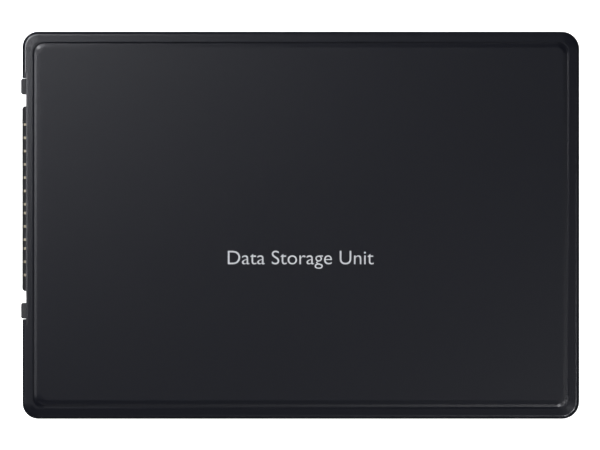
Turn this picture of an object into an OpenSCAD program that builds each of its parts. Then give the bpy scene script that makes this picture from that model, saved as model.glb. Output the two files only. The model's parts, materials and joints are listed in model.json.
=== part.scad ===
// Slim 2.5-inch solid state drive with an edge connector, in millimetres.
// X runs along the case with the connector at -X, Z runs up through the cover.
// The origin is the middle of the underside's bounding box.

/* [Case] */
// Length of the metal case, without the guide posts
case_l = 100.45; // [98:0.05:125]
// Width of the case
case_w = 69.85; // [68:0.05:85]
// Height of the case
case_h = 6.8; // [6.8:0.1:15]
// Plan radius of the two corners at the connector end
front_corner_r = 2.8; // [2.2:0.1:3.4]
// Plan radius of the two corners at the other end
rear_corner_r = 3.1; // [2.2:0.1:3.7]
// Thickness of the tray's side walls
wall_t = 1.9; // [1.6:0.02:2.3]
// Thickness of the tray's floor
floor_t = 0.8; // [0.65:0.05:1]
// Rounding of the tray's lower edge
foot_round = 0.5; // [0.3:0.05:0.6]
// Chamfer on each side of the seam between tray and cover
seam_chamfer = 0.08; // [0.05:0.01:0.1]

/* [Cover] */
// Thickness of the cover under its raised panel
cover_t = 0.9; // [0.75:0.05:1.1]
// Radius of the rounding on the cover's outer edge
edge_r = 0.85; // [0.75:0.05:0.9]
// Height of that rounding
edge_h = 0.66; // [0.6:0.02:0.7]
// Drop from the panel to the rim's outer edge
rim_drop = 0.34; // [0.3:0.01:0.36]
// Rise of the rim from its outer edge to the groove
rim_rise = 0.21; // [0.1:0.01:0.26]
// Distance of the groove's bottom from the outer edge
groove_in = 2.15; // [1.9:0.05:2.3]
// Width of the groove at its mouth
groove_w = 0.75; // [0.5:0.05:0.9]
// Depth of the groove below the rim
groove_d = 0.2; // [0.12:0.01:0.27]
// Plan radius of the groove's corners
groove_corner_r = 1.9; // [1.3:0.05:2.2]
// Mean distance of the panel's edge from the outer edge
panel_in = 3.1; // [2.9:0.05:3.5]
// Shift of the panel away from the connector end
panel_shift_x = 0.2; // [0:0.05:0.3]
// Shift of the panel toward the +Y side
panel_shift_y = 0.3; // [0:0.05:0.35]
// Plan radius of the panel's corners
panel_corner_r = 1.2; // [1:0.05:1.5]
// Drop of the bevel for each millimetre outward from the panel
bevel_slope = 0.17; // [0.08:0.01:0.18]
// Depth of the cover's skirt, down to the seam with the tray
skirt_h = 0.3; // [0.25:0.05:0.35]
// Width of the lip that centres the cover in the tray
lip_w = 0.8; // [0.6:0.05:1]
// Height of the lip
lip_h = 0.6; // [0.5:0.05:0.7]
// Gap between the lip and the tray's walls
lip_gap = 0.15; // [0.1:0.01:0.2]

/* [Screws] */
// Distance of a case screw from the nearest side
case_screw_side = 4.3; // [4.1:0.05:4.6]
// Distance of a case screw from the nearest end
case_screw_end = 4.4; // [4.2:0.05:4.8]
// Radius of a case screw's shank
case_screw_r = 1; // [0.8:0.05:1.1]
// Radius of a case screw's countersunk head
case_head_r = 1.9; // [1.6:0.05:2]
// Height of a case screw's head
case_head_h = 1.1; // [0.9:0.05:1.2]
// Radius of the cover's screw bosses
cover_boss_r = 2.1; // [1.9:0.05:2.2]
// Radius of the tray's screw bosses
tray_boss_r = 2.8; // [2.6:0.05:3]
// Radius of a board screw's shank
board_screw_r = 0.95; // [0.8:0.05:1]
// Radius of a board screw's head
board_head_r = 1.8; // [1.5:0.05:1.9]
// Height of a board screw's head
board_head_h = 0.8; // [0.6:0.05:0.9]
// Distance of a board screw from the side of the case
board_screw_side = 5.1; // [5:0.05:5.6]
// Radius of a board standoff
standoff_r = 2.2; // [1.9:0.05:2.4]

/* [Mounting] */
// Distance of the first mounting holes from the connector end
mount_first = 14; // [13:0.1:16]
// Spacing of the mounting holes along the case
mount_pitch = 76.6; // [70:0.05:76.6]
// Distance of the lower mounting holes from the side
mount_side = 4.07; // [4:0.01:4.3]
// Height of the side mounting holes
mount_z = 3; // [2.7:0.05:3.3]
// Radius of the mounting threads
mount_hole_r = 1.25; // [1:0.05:1.5]
// Depth of the lower mounting holes
mount_depth = 3; // [2.4:0.1:3.2]
// Depth of the side mounting holes
side_mount_depth = 2.5; // [2:0.05:2.6]

/* [Connector] */
// Offset of the connector's middle from the case's middle
conn_y = 4.8; // [4:0.1:5.5]
// Depth by which the case is set back at the connector
notch_depth = 0.66; // [0.4:0.02:0.9]
// Reach of the guide posts beyond the case
post_reach = 0.3; // [0.2:0.05:0.5]
// Distance across the outer sides of the guide posts
post_span = 43.3; // [42.6:0.1:44]
// Width of a guide post
post_w = 2.8; // [2.4:0.1:3]
// Height of a guide post
post_h = 4; // [3.6:0.1:4.2]
// Gap between a guide post and the case
post_gap = 0.16; // [0.1:0.01:0.3]
// Width of the contact tongue
tongue_w = 33.4; // [33:0.1:34]
// Reach of the tongue beyond the case
tongue_reach = 0.12; // [0:0.02:0.2]
// Depth of the connector's open cavity
cavity_depth = 6.2; // [5.8:0.1:6.6]
// Length of the connector's rear block
block_l = 3.2; // [2.8:0.1:3.6]
// Gap between the rear block and the cover, and the same below
block_gap = 0.25; // [0.2:0.05:0.4]
// Thickness of a contact
contact_t = 0.12; // [0.08:0.01:0.15]
// Width of a fine contact
fine_w = 0.44; // [0.36:0.02:0.5]
// Pitch of the fine contacts
fine_pitch = 0.8; // [0.76:0.01:0.82]
// Width of a coarse contact
coarse_w = 0.84; // [0.7:0.02:0.9]
// Pitch of the coarse contacts
coarse_pitch = 1.27; // [1.2:0.01:1.28]

/* [Board] */
// Thickness of the circuit board
board_t = 1; // [0.8:0.05:1.2]
// Room between the tray's floor and the board
under_board = 2.2; // [2.1:0.05:2.5]
// Gap between the board and whatever it lies inside
board_gap = 0.6; // [0.4:0.05:0.8]
// Height of the flash packages
flash_h = 1.2; // [1:0.05:1.4]
// Length of a flash package across the case
flash_l = 18; // [16:0.5:18.5]
// Width of a flash package along the case
flash_w = 14; // [12:0.5:14.5]
// Side of the controller package
controller_w = 17; // [14:0.5:18]
// Height of the controller package
controller_h = 1.35; // [1:0.05:1.5]

/* [Hidden] */
$fn = 64;

// Places along X are measured from the case's connector end, which lies here
front_x = (post_reach - case_l) / 2;
// Cutting solids run this far past the faces they open
cut = 1;

// Levels: the flat underside of the cover, and the seam between cover and tray
ceiling_z = case_h - cover_t;
seam_z = ceiling_z - skirt_h;
board_z = floor_t + under_board;
board_top = board_z + board_t;
mid_z = board_z + board_t / 2;

// The groove's outer and inner walls, seen from above
groove_outer_w = 0.4 * groove_w;
groove_inner_w = 0.6 * groove_w;

// Connector opening
opening_w = post_span + 2 * post_gap;
block_end = cavity_depth + block_l;
tail_end = block_end + 1.9;
block_z = floor_t + block_gap;
block_h = ceiling_z - block_gap - block_z;
channel_w = tongue_w - 0.6;
channel_gap = 0.1;
board_tab_w = channel_w - 0.2;
board_tab_x = block_end - 1.4;

// Board outline
board_front = block_end + 0.2;
board_back = case_l - wall_t - board_gap;
board_w = case_w - 2 * (wall_t + board_gap);
mount_boss_l = 6.4;
mount_boss_w = 2.7;
mount_boss_top = mount_z + 2;
mouth = 0.3;
mount_last = mount_first + mount_pitch;
mount_row = case_w / 2 - mount_side;
waist_w = 2 * (mount_row - mount_boss_w - board_gap);
waist_front = mount_first + mount_boss_l / 2 + board_gap;
waist_back = mount_last - mount_boss_l / 2 - board_gap;
board_screw_x = [waist_front + 2.7, waist_back - 2.7];
board_screw_y = case_w / 2 - board_screw_side;
screw_gap = 0.05;
board_hole_r = board_screw_r + 0.15;
// The board screws' shanks end this far above the tray's underside
board_screw_low = 1.3;
thread_runout = 0.2;

// Case screws
case_screw_x = [case_screw_end, case_l - case_screw_end];
case_screw_y = case_w / 2 - case_screw_side;
case_screw_top = ceiling_z - 0.7;
boss_seam = board_z + 0.5;
head_sink = 0.12;
recess_r = 0.75;
recess_d = 0.55;

// Label
label_l = 78;
label_w = 50;
label_r = 1.5;
label_t = 0.1;
label_sink = 0.05;
label_x = case_l / 2;

// Parts on the board: places from the connector end and from the case's middle
controller_x = 38;
// Bodies on wrapped or bent legs stand this far off the board
lift = 0.1;
foil_t = 0.1;
substrate_t = 0.55;
lid_w = controller_w - 1;
memory_l = 11;
memory_w = 7.5;
memory_h = 1.1;
memory_y = controller_w / 2 + 2.6 + memory_w / 2;
flash_gap_x = 3;
flash_gap_y = 4;
pad_inset = 1;
flash_column_l = 2 * flash_l + flash_gap_y;
flash_x = controller_x + controller_w / 2 + 3 + flash_w / 2;
flash_places = [for (i = [0, 1], s = [-1, 1])
    [flash_x + i * (flash_w + flash_gap_x), s * (flash_l + flash_gap_y) / 2]];
backup_l = 7.3;
backup_w = 4.3;
backup_h = 1.5;
backup_body_l = backup_l - 2 * foil_t;
backup_end_w = 2.4;
backup_pitch = 5.2;
backup_rows = 9;
backup_x = [for (i = [0, 1]) board_back - 0.4 - backup_l / 2 - i * (backup_l + 0.6)];
backup_places = [for (x = backup_x, i = [0:backup_rows - 1])
    [x, (i - (backup_rows - 1) / 2) * backup_pitch]];
coil_w = 4.2;
coil_h = 1.6;
side_y = board_w / 2 - 3.6;
coil_places = [[33.5, side_y, 0], [40, side_y, 0], [46.5, side_y, 0], [33.5, side_y - 5.4, 0],
    [66, side_y, 90], [33.5, -side_y, 0]];
power_chip_place = [board_screw_x[0] + 6, side_y - 2.2];
power_chip_size = [6, 6, 0.9];
converter_place = [73.5, side_y];
converter_size = [4, 4, 0.9];
switch_place = [20.2, 19.2];
switch_size = [5, 5, 0.95];
fuse_place = [15, 23.8];
fuse_size = [2.2, 1.6, 0.6];
fuse_end = 0.5;
diode_place = [19.2, 12.8];
diode_size = [4.2, 2.6, 0.95];
crystal_place = [26, -4.2];
crystal_base_size = [2.5, 3.2, 0.35];
crystal_lid_size = [2.2, 2.9, 0.4];
firmware_place = [25.6, -12];
firmware_size = [3.9, 4.9, 1.2];
sensor_place = [24.2, -21];
sensor_size = [1.6, 2.9, 0.9];

// Small two-ended parts: x, y and turn
lane_capacitors = [for (i = [0:15]) [14.2, conn_y - 15.2 + i * 1.55, 0]];
flash_capacitors = [for (p = flash_places, i = [-1:1])
    [p[0] + i * 3.2, p[1] + sign(p[1]) * (flash_l / 2 + 1.6), 0]];
controller_capacitors = [for (i = [-3:3]) [controller_x - controller_w / 2 - 1.6, i * 2.1, 90]];
power_capacitors = [for (i = [0:2]) [board_screw_x[0] + 4 + i * 2.2, side_y + 2.4, 90]];
capacitor_places = concat(lane_capacitors, flash_capacitors, controller_capacitors, power_capacitors);
under_capacitors = [for (i = [-2:2], j = [-1:1]) [controller_x + i * 2.6, j * 2.6, 0]];
resistor_places = concat(
    [for (i = [0:5]) [22.5 + i * 1.5, -16.8, 90]],
    [for (i = [0:4]) [52 + i * 1.6, -side_y, 90]],
    [for (i = [0:3]) [69.5, side_y - 2.2 + i * 1.3, 0]],
    [for (i = [0:3]) [20.4, -7 + i * 1.4, 0]]);
chip_l = 1.6;
chip_w = 0.8;
chip_end = 0.35;
capacitor_h = 0.8;
resistor_h = 0.45;

// Contacts: index lists of the ones that mate first
ground_index = [2, 5, 8, 10, 13, 16, 18, 21, 24, 27, 30, 33, 36];
fine_count = 40;
fine_start = conn_y - 15.4;
signal_count = 7;
power_count = 15;
coarse_places = 26;
coarse_row = (coarse_places - 1) * coarse_pitch;
coarse_row_w = coarse_row + coarse_w;
signal_start = conn_y - coarse_row / 2;
power_start = conn_y + coarse_row / 2 - (power_count - 1) * coarse_pitch;
clock_count = 6;
signal_last = signal_start + (signal_count - 1) * coarse_pitch;
clock_start = (signal_last + power_start - (clock_count - 1) * fine_pitch) / 2;
first_mate = 0.28;
second_mate = 1.2;

// ---------------------------------------------------------------- helpers

module from_front() {
    translate([front_x, 0, 0]) children();
}

// Points along an arc
function arc(c, r, a0, a1, n) =
    [for (i = [0:n]) let (a = a0 + (a1 - a0) * i / n) [c[0] + r * cos(a), c[1] + r * sin(a)]];

// Rectangle with one corner radius at the front and one at the back, its front edge at X = 0
module rounded_plan(l, w, r_front, r_back) {
    polygon([[r_front, -w / 2], [l - r_back, -w / 2], [l, r_back - w / 2], [l, w / 2 - r_back],
        [l - r_back, w / 2], [r_front, w / 2], [0, w / 2 - r_front], [0, r_front - w / 2]]);
    for (s = [-1, 1]) {
        translate([r_front, s * (w / 2 - r_front)]) circle(r_front);
        translate([l - r_back, s * (w / 2 - r_back)]) circle(r_back);
    }
}

// The case's outline moved inward, with its own corner radii
module case_plan(inward, r_front, r_back) {
    translate([inward, 0]) rounded_plan(case_l - 2 * inward, case_w - 2 * inward, r_front, r_back);
}

// A profile carried round such an outline: its X points outward from the outline, its Y is up
module carry_round(inward, r_front, r_back) {
    l = case_l - 2 * inward;
    w = case_w - 2 * inward;
    translate([inward, 0, 0]) {
        translate([l - r_back, -w / 2, 0]) rotate([90, 0, -90]) linear_extrude(l - r_front - r_back)
            children();
        translate([r_front, w / 2, 0]) rotate([90, 0, 90]) linear_extrude(l - r_front - r_back)
            children();
        translate([l, w / 2 - r_back, 0]) rotate([90, 0, 0]) linear_extrude(w - 2 * r_back) children();
        translate([0, r_front - w / 2, 0]) rotate([90, 0, 180]) linear_extrude(w - 2 * r_front)
            children();
        for (c = [[l - r_back, -1, r_back, -90], [l - r_back, 1, r_back, 0],
                [r_front, 1, r_front, 90], [r_front, -1, r_front, 180]])
            translate([c[0], c[1] * (w / 2 - c[2]), 0]) rotate([0, 0, c[3]])
                rotate_extrude(angle = 90) translate([c[2], 0]) children();
    }
}

// Box centred in X and Y, standing on Z = 0
module block(size) {
    translate([-size[0] / 2, -size[1] / 2, 0]) cube(size);
}

// Puts a child on the board's upper or lower side
module on_board(p) {
    from_front() translate([p[0], p[1], board_top]) rotate([0, 0, len(p) > 2 ? p[2] : 0]) children();
}
module under_board_at(p) {
    from_front() translate([p[0], p[1], board_z]) rotate([180, 0, 0]) children();
}

// Middle and ends of a small two-ended part
module chip_middle(h) {
    block([chip_l - 2 * chip_end, chip_w, h]);
}
module chip_ends(h) {
    for (s = [-1, 1])
        translate([s * (chip_l - chip_end) / 2, 0, 0]) block([chip_end, chip_w, h]);
}

// Two flat terminals that wrap the ends of a block and reach under it
module wrapped_ends(l, w, up, foot) {
    t = foil_t;
    for (s = [0, 180])
        rotate([0, 0, s]) translate([l / 2, w / 2, 0]) rotate([90, 0, 0]) linear_extrude(w)
            polygon([[t, 0], [t, up], [0, up], [0, t], [-foot, t], [-foot, 0]]);
}

// One bent leg that leaves a moulded body's side at the given height
module bent_leg(w, out, h) {
    t = 0.15;
    translate([0, w / 2, 0]) rotate([90, 0, 0]) linear_extrude(w)
        polygon([[0, h], [0, h - t], [0.35 * out - t, h - t], [0.35 * out, 0], [out, 0], [out, t],
            [0.35 * out + t, t], [0.35 * out, h]]);
}

// Six-lobed drive recess
module drive_recess(r, d) {
    linear_extrude(d) polygon([for (i = [0:11]) let (q = i % 2 == 0 ? r : 0.76 * r)
        [q * cos(30 * i), q * sin(30 * i)]]);
}

// ---------------------------------------------------------------- case

module connector_opening(low, high) {
    translate([-cut, conn_y - opening_w / 2, low]) cube([block_end + cut, opening_w, high - low]);
}

module connector_notch() {
    translate([-cut, conn_y - opening_w / 2, -cut]) cube([notch_depth + cut, opening_w, case_h + 2 * cut]);
}

module mount_bosses() {
    for (x = [mount_first, mount_last], s = [-1, 1])
        translate([x, s * (mount_row + case_w / 2 - mount_boss_w - wall_t / 2) / 2, 0])
            block([mount_boss_l, case_w / 2 - wall_t / 2 - mount_row + mount_boss_w, mount_boss_top]);
}

module mouth_chamfer() {
    translate([0, 0, -cut]) cylinder(r = mount_hole_r + mouth, h = cut);
    cylinder(r1 = mount_hole_r + mouth, r2 = mount_hole_r, h = mouth);
}

module mount_holes() {
    for (x = [mount_first, mount_last], s = [-1, 1]) {
        translate([x, s * mount_row, -cut]) cylinder(r = mount_hole_r, h = mount_depth + cut);
        translate([x, s * mount_row, 0]) mouth_chamfer();
        translate([x, s * case_w / 2, mount_z]) rotate([s * 90, 0, 0]) {
            translate([0, 0, -cut]) cylinder(r = mount_hole_r, h = side_mount_depth + cut);
            mouth_chamfer();
        }
    }
}

module case_screw_holes() {
    for (x = case_screw_x, s = [-1, 1])
        translate([x, s * case_screw_y, 0]) {
            translate([0, 0, -cut]) cylinder(r = case_screw_r + 0.1, h = boss_seam + 2 * cut);
            translate([0, 0, -cut]) cylinder(r = case_head_r + screw_gap, h = cut + head_sink);
            translate([0, 0, head_sink])
                cylinder(r1 = case_head_r + screw_gap, r2 = case_screw_r + screw_gap, h = case_head_h);
        }
}

module standoffs(r, low, high) {
    for (x = board_screw_x, s = [-1, 1])
        translate([x, s * board_screw_y, low]) cylinder(r = r, h = high - low);
}

module base_tray() {
    color("#24262a") from_front() difference() {
        union() {
            difference() {
                linear_extrude(seam_z) case_plan(0, front_corner_r, rear_corner_r);
                translate([0, 0, floor_t]) linear_extrude(seam_z) case_plan(wall_t, 1, 1.2);
            }
            intersection() {
                linear_extrude(boss_seam) case_plan(wall_t / 2, front_corner_r - wall_t / 2,
                    rear_corner_r - wall_t / 2);
                for (x = case_screw_x, s = [-1, 1])
                    translate([x, s * case_screw_y, 0]) cylinder(r = tray_boss_r, h = boss_seam);
            }
            mount_bosses();
            standoffs(standoff_r, floor_t / 2, board_z);
        }
        connector_opening(floor_t, case_h + cut);
        connector_notch();
        // room for the cover's bosses, where a thicker wall would reach them
        for (x = case_screw_x, s = [-1, 1])
            translate([x, s * case_screw_y, boss_seam])
                cylinder(r = cover_boss_r + lip_gap / 2, h = case_h - boss_seam);
        mount_holes();
        case_screw_holes();
        standoffs(board_screw_r + screw_gap, board_screw_low - thread_runout, board_z + cut);
        translate([label_x - label_l / 2, 0, -cut]) linear_extrude(cut + label_t + label_sink)
            rounded_plan(label_l, label_w, label_r, label_r);
        // rounded lower edge
        carry_round(0, front_corner_r, rear_corner_r)
            polygon(concat([[0.2, -0.2]], arc([-foot_round, foot_round], foot_round + 0.01, -92, 2, 7)));
        // chamfer at the seam
        translate([0, 0, seam_z]) carry_round(0, front_corner_r, rear_corner_r)
            polygon([[0.1, 0.1], [-seam_chamfer - 0.1, 0.1], [-seam_chamfer, 0], [0, -seam_chamfer],
                [0.1, -seam_chamfer - 0.1]]);
    }
}

// Outer edge and rim, from the side face in to the groove
module edge_cut() {
    low = asin(1 - edge_h / edge_r);
    mouth_x = groove_outer_w - groove_in;
    // the flank runs on straight from the arc's lower end, out past the side face
    flank = [edge_r * (cos(low) - 1) + 0.3, -rim_drop - edge_h - 0.3 / tan(low)];
    polygon(concat([flank], arc([-edge_r, -rim_drop - edge_r], edge_r, low, 76, 9),
        [[mouth_x, rim_rise - rim_drop], [mouth_x, 0.2], [flank[0], 0.2]]));
}

// The groove's two sloping walls, carried on above the surfaces they meet
module groove_cut() {
    low = rim_rise - rim_drop - groove_d;
    flat = 0.02;
    rise = (0.2 - low) / groove_d;
    polygon([[flat, low], [flat + rise * (groove_outer_w - flat), 0.2],
        [-flat - rise * (groove_inner_w - flat), 0.2], [-flat, low]]);
}

module cover_shell() {
    rim_top = case_h - rim_drop + rim_rise;
    difference() {
        translate([0, 0, seam_z]) linear_extrude(rim_top - seam_z)
            case_plan(0, front_corner_r, rear_corner_r);
        translate([0, 0, seam_z - cut]) linear_extrude(skirt_h + cut) case_plan(wall_t, 1, 1.2);
        translate([0, 0, case_h]) carry_round(0, front_corner_r, rear_corner_r) edge_cut();
        translate([0, 0, seam_z]) carry_round(0, front_corner_r, rear_corner_r)
            polygon([[0.1, -0.1], [-seam_chamfer - 0.1, -0.1], [-seam_chamfer, 0], [0, seam_chamfer],
                [0.1, seam_chamfer + 0.1]]);
    }
    difference() {
        translate([0, 0, ceiling_z]) linear_extrude(cover_t)
            case_plan(groove_in, groove_corner_r, groove_corner_r);
        translate([panel_shift_x, panel_shift_y, case_h])
            carry_round(panel_in, panel_corner_r, panel_corner_r)
                polygon([[-0.1, 0.2], [-0.1, 0.1], [0, 0], [2.2, -2.2 * bevel_slope], [2.2, 0.2]]);
    }
}

module cover_bosses() {
    for (x = case_screw_x, s = [-1, 1])
        translate([x, s * case_screw_y, boss_seam])
            cylinder(r = cover_boss_r, h = ceiling_z - boss_seam + cover_t / 3);
}

module cover_lip() {
    translate([0, 0, ceiling_z - lip_h]) linear_extrude(lip_h + cover_t / 3) difference() {
        case_plan(wall_t + lip_gap, 0.9, 1.1);
        case_plan(wall_t + lip_gap + lip_w, 0.5, 0.5);
    }
}

module top_cover() {
    color("#2b2d31") from_front() difference() {
        union() {
            cover_shell();
            cover_lip();
            cover_bosses();
        }
        translate([0, 0, case_h]) carry_round(groove_in, groove_corner_r, groove_corner_r) groove_cut();
        connector_opening(-cut, ceiling_z);
        connector_notch();
        // chamfered edge along the notch
        translate([notch_depth, conn_y + opening_w / 2 + cut, case_h - rim_drop])
            rotate([90, 0, 0]) linear_extrude(opening_w + 2 * cut)
                polygon([[-cut, 0.2], [-cut, -0.3], [0, -0.24],
                    [0.04, -0.085], [0.29, 0.016], [0.6, 0.17]]);
        for (x = case_screw_x, s = [-1, 1])
            translate([x, s * case_screw_y, boss_seam - cut])
                cylinder(r = case_screw_r + screw_gap,
                    h = case_screw_top + thread_runout - boss_seam + cut);
    }
}

module case_screws() {
    color("#3a3c40") from_front() for (x = case_screw_x, s = [-1, 1])
        translate([x, s * case_screw_y, 0]) difference() {
            union() {
                translate([0, 0, head_sink])
                    cylinder(r1 = case_head_r, r2 = case_screw_r, h = case_head_h);
                translate([0, 0, case_head_h]) cylinder(r = case_screw_r, h = case_screw_top - case_head_h);
            }
            drive_recess(recess_r, head_sink + recess_d);
        }
}

module board_screws() {
    color("#b9bcc0") from_front() for (x = board_screw_x, s = [-1, 1])
        translate([x, s * board_screw_y, 0]) difference() {
            union() {
                translate([0, 0, board_screw_low])
                    cylinder(r = board_screw_r, h = board_top - board_screw_low);
                translate([0, 0, board_top]) cylinder(r = board_head_r, h = 0.6 * board_head_h);
                translate([0, 0, board_top + 0.6 * board_head_h])
                    cylinder(r1 = board_head_r, r2 = 0.75 * board_head_r, h = 0.4 * board_head_h);
            }
            translate([0, 0, board_top + board_head_h - recess_d]) drive_recess(recess_r, recess_d + cut);
        }
}

module bottom_label() {
    margin = 0.2;
    color("#d8d9d6") from_front() translate([label_x - label_l / 2 + margin, 0, label_sink])
        linear_extrude(label_t)
            rounded_plan(label_l - 2 * margin, label_w - 2 * margin, label_r - margin, label_r - margin);
}

// ---------------------------------------------------------------- connector

module tongue() {
    c = 0.35;
    l = board_tab_x + tongue_reach;
    translate([-tongue_reach, 0, 0]) difference() {
        translate([0, 0, board_z]) linear_extrude(board_t)
            polygon([[0, c - tongue_w / 2], [c, -tongue_w / 2], [l, -tongue_w / 2],
                [l, tongue_w / 2], [c, tongue_w / 2], [0, tongue_w / 2 - c]]);
        // lead-in along the front edge
        for (s = [0, 1])
            translate([0, tongue_w / 2 + cut, mid_z]) mirror([0, 0, s]) rotate([90, 0, 0])
                linear_extrude(tongue_w + 2 * cut)
                    polygon([[-0.1, board_t / 2 - 0.3], [0, board_t / 2 - 0.2], [0.2, board_t / 2],
                        [0.3, board_t / 2 + 0.1], [-0.1, board_t / 2 + 0.1]]);
    }
}

// Keys below the tongue's two ends
module tongue_keys() {
    key_w = (tongue_w - coarse_row_w) / 2 - 0.05;
    key_h = 1.15;
    for (s = [-1, 1])
        translate([0.5, s * (tongue_w - key_w) / 2 - key_w / 2, board_z - key_h])
            cube([cavity_depth, key_w, key_h + board_t / 2]);
}

module guide_post() {
    l = post_reach + cavity_depth + 0.3;
    n = 0.22;
    lead = 0.5;
    intersection() {
        translate([0, 0, -post_h / 2]) linear_extrude(post_h)
            polygon([[0, n - post_w / 2], [n, -post_w / 2], [l, -post_w / 2], [l, post_w / 2],
                [n, post_w / 2], [0, post_w / 2 - n]]);
        translate([0, post_w, 0]) rotate([90, 0, 0]) linear_extrude(2 * post_w)
            polygon([[0, lead - post_h / 2], [lead, -post_h / 2], [l, -post_h / 2], [l, post_h / 2],
                [lead, post_h / 2], [0, post_h / 2 - lead]]);
    }
}

module connector_housing() {
    color("#1b1c1f") from_front() translate([0, conn_y, 0]) difference() {
        union() {
            tongue();
            tongue_keys();
            for (s = [-1, 1])
                translate([-post_reach, s * (post_span - post_w) / 2, mid_z]) guide_post();
            translate([cavity_depth, -post_span / 2, block_z]) cube([block_l, post_span, block_h]);
        }
        // the slot that takes the board's front edge
        translate([board_tab_x, -channel_w / 2, board_z - contact_t - channel_gap])
            cube([block_l, channel_w, board_t + 2 * (contact_t + channel_gap)]);
        // the channels for the contacts, above and below
        for (z = [board_top, board_z - contact_t - channel_gap])
            translate([cavity_depth - 0.3, -channel_w / 2, z])
                cube([block_l + cut, channel_w, contact_t + channel_gap]);
    }
}

// One straight contact from its mating end to its soldered tail
module contact(y, start, w, z) {
    translate([start - tongue_reach, y - w / 2, z]) cube([tail_end + tongue_reach - start, w, contact_t]);
}

function is_in(i, list) = len([for (k = list) if (k == i) k]) > 0;

module ground_contacts() {
    color("#c9a24a") from_front() for (i = ground_index)
        contact(fine_start + i * fine_pitch, first_mate, fine_w, board_top);
}

module lane_contacts() {
    color("#c9a24a") from_front() for (i = [0:fine_count - 1])
        if (!is_in(i, ground_index))
            contact(fine_start + i * fine_pitch, second_mate, fine_w, board_top);
}

module signal_contacts() {
    color("#c9a24a") from_front() for (i = [0:signal_count - 1])
        contact(signal_start + i * coarse_pitch, i % 3 == 0 ? first_mate : second_mate, coarse_w,
            board_z - contact_t);
}

module clock_contacts() {
    color("#c9a24a") from_front() for (i = [0:clock_count - 1])
        contact(clock_start + i * fine_pitch, second_mate, fine_w, board_z - contact_t);
}

module power_contacts() {
    color("#c9a24a") from_front() for (i = [0:power_count - 1])
        contact(power_start + i * coarse_pitch, is_in(i, [3, 11]) ? first_mate : second_mate, coarse_w,
            board_z - contact_t);
}

module connector_hold_downs() {
    t = 0.15;
    w = 2.4;
    color("#b9bcc0") from_front() for (s = [-1, 1])
        translate([block_end, conn_y + s * (post_span / 2 - 2.4) + w / 2, board_top])
            rotate([90, 0, 0]) linear_extrude(w)
                polygon([[0, 0], [2.8, 0], [2.8, t], [t, t], [t, 1.1], [0, 1.1]]);
}

// ---------------------------------------------------------------- board and parts

module board_outline() {
    translate([waist_front, 0])
        rounded_plan(waist_back - waist_front, board_w, 0.6, 0.6);
    translate([board_front, 0]) rounded_plan(board_back - board_front, waist_w, 0.6, 0.6);
    translate([board_tab_x, conn_y - board_tab_w / 2]) square([board_front - board_tab_x + 1, board_tab_w]);
}

module circuit_board() {
    color("#1d5a3a") from_front() translate([0, 0, board_z]) linear_extrude(board_t) difference() {
        board_outline();
        for (x = board_screw_x, s = [-1, 1])
            translate([x, s * board_screw_y]) circle(board_hole_r);
    }
}

module controller_substrate() {
    color("#2c4a38") on_board([controller_x, 0]) block([controller_w, controller_w, substrate_t]);
}

module controller_lid() {
    color("#9a9da1") on_board([controller_x, 0]) translate([0, 0, substrate_t])
        block([lid_w, lid_w, controller_h - substrate_t]);
}

module memory_chip(s) {
    color("#26272a") on_board([controller_x, s * memory_y]) block([memory_l, memory_w, memory_h]);
}
module memory_chip_1() {
    memory_chip(1);
}
module memory_chip_2() {
    memory_chip(-1);
}

module flash_top(i) {
    color("#232427") on_board(flash_places[i]) block([flash_w, flash_l, flash_h]);
}
module flash_top_1() {
    flash_top(0);
}
module flash_top_2() {
    flash_top(1);
}
module flash_top_3() {
    flash_top(2);
}
module flash_top_4() {
    flash_top(3);
}

module flash_bottom(i) {
    color("#232427") under_board_at(flash_places[i]) block([flash_w, flash_l, flash_h]);
}
module flash_bottom_1() {
    flash_bottom(0);
}
module flash_bottom_2() {
    flash_bottom(1);
}
module flash_bottom_3() {
    flash_bottom(2);
}
module flash_bottom_4() {
    flash_bottom(3);
}

module power_controller() {
    color("#26272a") on_board(power_chip_place) block(power_chip_size);
}

module backup_converter() {
    color("#26272a") on_board(converter_place) block(converter_size);
}

module input_switch() {
    color("#26272a") on_board(switch_place) block(switch_size);
}

module input_fuse() {
    color("#e8e6dc") on_board(fuse_place) block(fuse_size);
}
module input_fuse_ends() {
    color("#b9bcc0") on_board(fuse_place) for (s = [-1, 1])
        translate([s * (fuse_size[0] + fuse_end) / 2, 0, 0]) block([fuse_end, fuse_size[1], fuse_size[2]]);
}

module surge_diode() {
    color("#26272a") on_board(diode_place) translate([0, 0, lift]) block(diode_size);
}
module surge_diode_legs() {
    color("#b9bcc0") on_board(diode_place) wrapped_ends(diode_size[0], 1.6, 0.5, 0.9);
}

module power_inductors() {
    color("#4a4b4e") for (p = coil_places)
        on_board(p) translate([0, 0, lift]) block([coil_w, coil_w, coil_h - lift]);
}
module power_inductor_ends() {
    color("#b9bcc0") for (p = coil_places)
        on_board(p) wrapped_ends(coil_w, coil_w - 1, 0.9, 1);
}

module backup_capacitors() {
    color("#c9902e") for (p = backup_places)
        on_board(p) translate([0, 0, lift]) block([backup_body_l, backup_w, backup_h - lift]);
}
module backup_capacitor_ends() {
    color("#b9bcc0") for (p = backup_places)
        on_board(p) wrapped_ends(backup_body_l, backup_end_w, 0.8, 1.3);
}

module ceramic_capacitors() {
    color("#b58e62") {
        for (p = capacitor_places)
            on_board(p) chip_middle(capacitor_h);
        for (p = under_capacitors)
            under_board_at(p) chip_middle(capacitor_h);
    }
}
module ceramic_capacitor_ends() {
    color("#b9bcc0") {
        for (p = capacitor_places)
            on_board(p) chip_ends(capacitor_h);
        for (p = under_capacitors)
            under_board_at(p) chip_ends(capacitor_h);
    }
}

module chip_resistors() {
    color("#202124") for (p = resistor_places)
        on_board(p) chip_middle(resistor_h);
}
module chip_resistor_ends() {
    color("#b9bcc0") for (p = resistor_places)
        on_board(p) chip_ends(resistor_h);
}

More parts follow.
